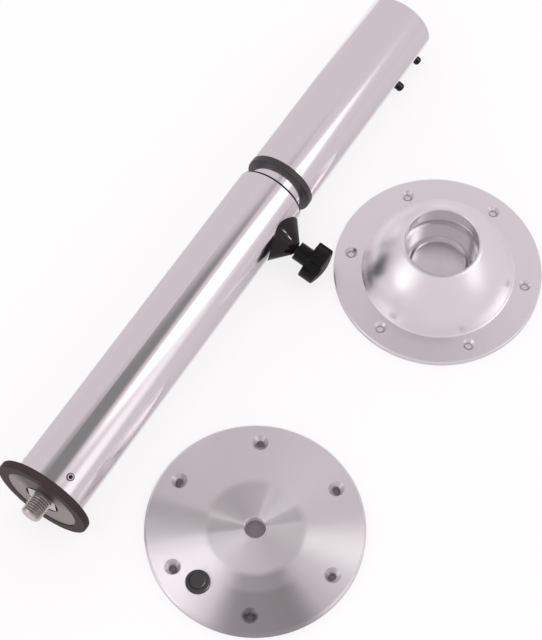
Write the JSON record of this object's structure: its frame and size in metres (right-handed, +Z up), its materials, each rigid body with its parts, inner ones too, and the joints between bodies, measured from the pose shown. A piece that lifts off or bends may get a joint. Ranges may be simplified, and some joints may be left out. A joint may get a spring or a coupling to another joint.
{
  "type": "telescopic table pedestal",
  "caption": "Telescopic table pedestal taken apart: a tubular column with clamp knob, stud and latch pins, with its round floor plate and domed table socket lying beside it.",
  "frame": {"origin": "middle of the set's bottom, on the floor", "axes": "+Z up; the column lies along +X, its stud at -X and its top end at +X; the floor plate and the table socket lie at -Y"},
  "size_m": [0.5242, 0.2604, 0.0777],
  "materials": {
    "polished_aluminium": "polished",
    "turned_aluminium": "turned",
    "satin_aluminium": "satin, turned",
    "steel": "bright, zinc plated",
    "black_rubber": "satin black",
    "black_plastic": "satin black",
    "gloss_black_plastic": "gloss black",
    "white_plastic": "natural acetal"
  },
  "bodies": {
    "base": {"floor_plate": "turned_aluminium", "hole_plug": "black_rubber", "table_socket": "satin_aluminium", "foot_ring": "black_rubber", "lower_tube": "polished_aluminium", "foot_plug": "turned_aluminium", "threaded_stud": "steel", "stud_locknut": "steel", "foot_set_screws": "steel", "top_guide_bush": "black_plastic", "clamp_boss": "gloss_black_plastic", "threaded_bush": "steel"},
    "glider": {"lower_glider": "white_plastic"},
    "upper": {"inner_tube": "polished_aluminium", "glider_circlips": "steel", "stage_collar": "black_plastic", "spacer_sleeve": "white_plastic", "upper_tube": "polished_aluminium", "top_end_plug": "polished_aluminium", "latch_spring": "steel"},
    "latch": {"lock_stud": "gloss_black_plastic", "release_button": "gloss_black_plastic"},
    "pad": {"clamp_pad": "black_plastic"},
    "knob": {"clamp_screw": "steel", "knob_grip": "black_plastic"}
  },
  "joints": [
    {"name": "height_slide", "type": "slide", "parent": "base", "child": "glider", "axis": [0.9998, 0, -0.0205], "range_m": [-0.01, 0.17]},
    {"name": "column_swivel", "type": "hinge", "parent": "glider", "child": "upper", "pos_m": [-0.24696, 0.0914, 0.03889], "axis": [0.9998, 0, -0.0205], "continuous": true},
    {"name": "latch_press", "type": "slide", "parent": "upper", "child": "latch", "axis": [0.0093, 0.891, 0.4539], "range_m": [0, 0.0049], "stiffness_N_per_m": 2500, "springref_m": -0.002, "deforming": ["latch_spring"]},
    {"name": "pad_slide", "type": "slide", "parent": "base", "child": "pad", "axis": [-0.0046, -0.9744, -0.2249], "range_m": [0, 0.0025]},
    {"name": "knob_turn", "type": "hinge", "parent": "pad", "child": "knob", "pos_m": [0.03598, 0.0914, 0.03309], "axis": [-0.0046, -0.9744, -0.2249], "range_deg": [0, 720]}
  ],
  "couplings": [
    {"joint": "knob_turn", "follows": "pad_slide", "rad_per_m": 5026.5}
  ]
}
